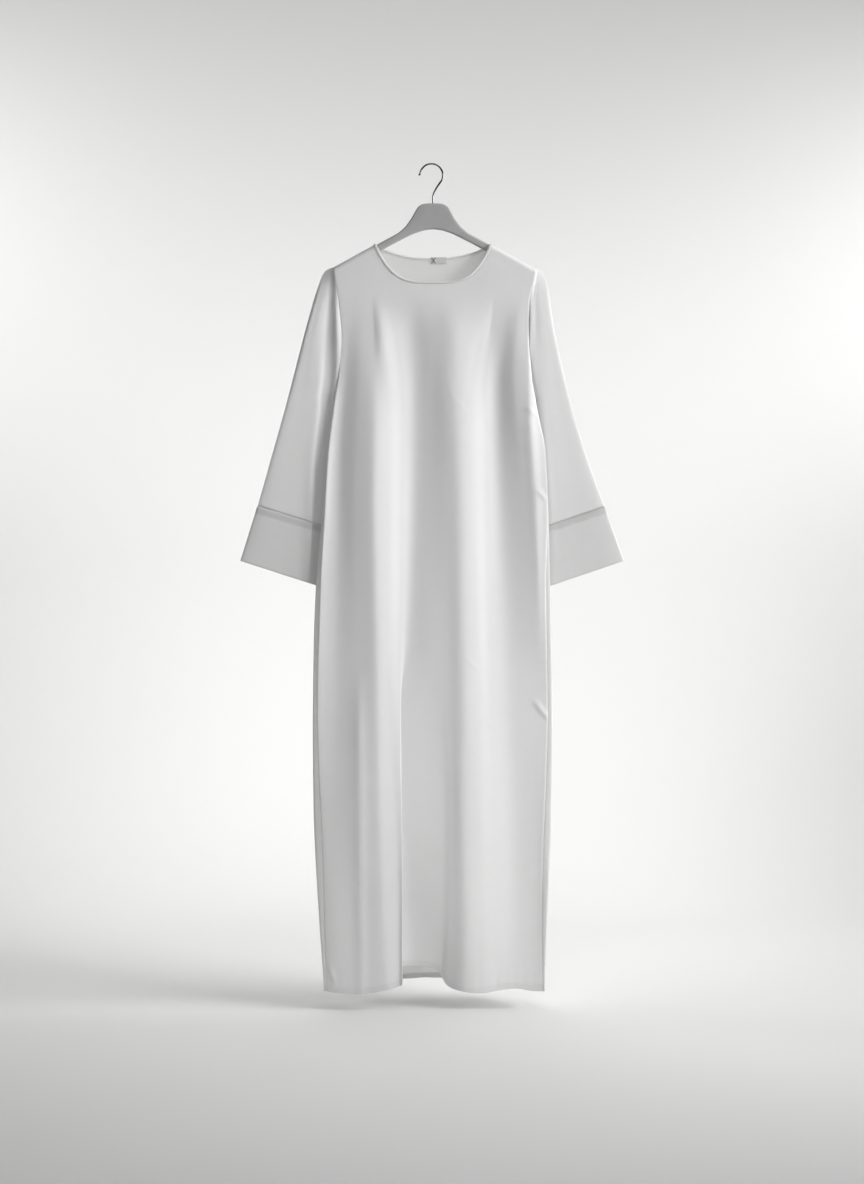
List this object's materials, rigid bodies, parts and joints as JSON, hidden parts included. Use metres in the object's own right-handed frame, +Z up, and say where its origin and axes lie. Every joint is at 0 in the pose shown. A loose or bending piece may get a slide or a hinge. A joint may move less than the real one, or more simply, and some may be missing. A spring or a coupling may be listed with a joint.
{
  "type": "djellaba on a hanger",
  "caption": "Long plain collarless robe with wide sleeves, deep doubled cuffs and a bound round neck, hanging on a flat clothes hanger with a wire hook.",
  "frame": {"origin": "the highest point inside the hook, where a rail carries it", "axes": "+Z up, -Y towards the viewer (the garment's front), +X to the viewer's right"},
  "size_m": [0.721, 0.1462, 1.5653],
  "materials": {
    "crepe": "matte white crepe, slightly sheer",
    "doubled_crepe": "the same crepe, doubled",
    "label_tape": "blank woven tape",
    "hanger_grey": "smooth light grey",
    "hook_steel": "bright plated wire"
  },
  "bodies": {
    "root": {"front_panel": "crepe", "back_panel": "crepe", "sleeve_left": "crepe", "sleeve_right": "crepe", "cuff_left": "doubled_crepe", "cuff_right": "doubled_crepe", "neck_binding": "crepe", "neck_label": "label_tape", "hanger_body": "hanger_grey", "hanger_hook": "hook_steel"}
  },
  "joints": []
}
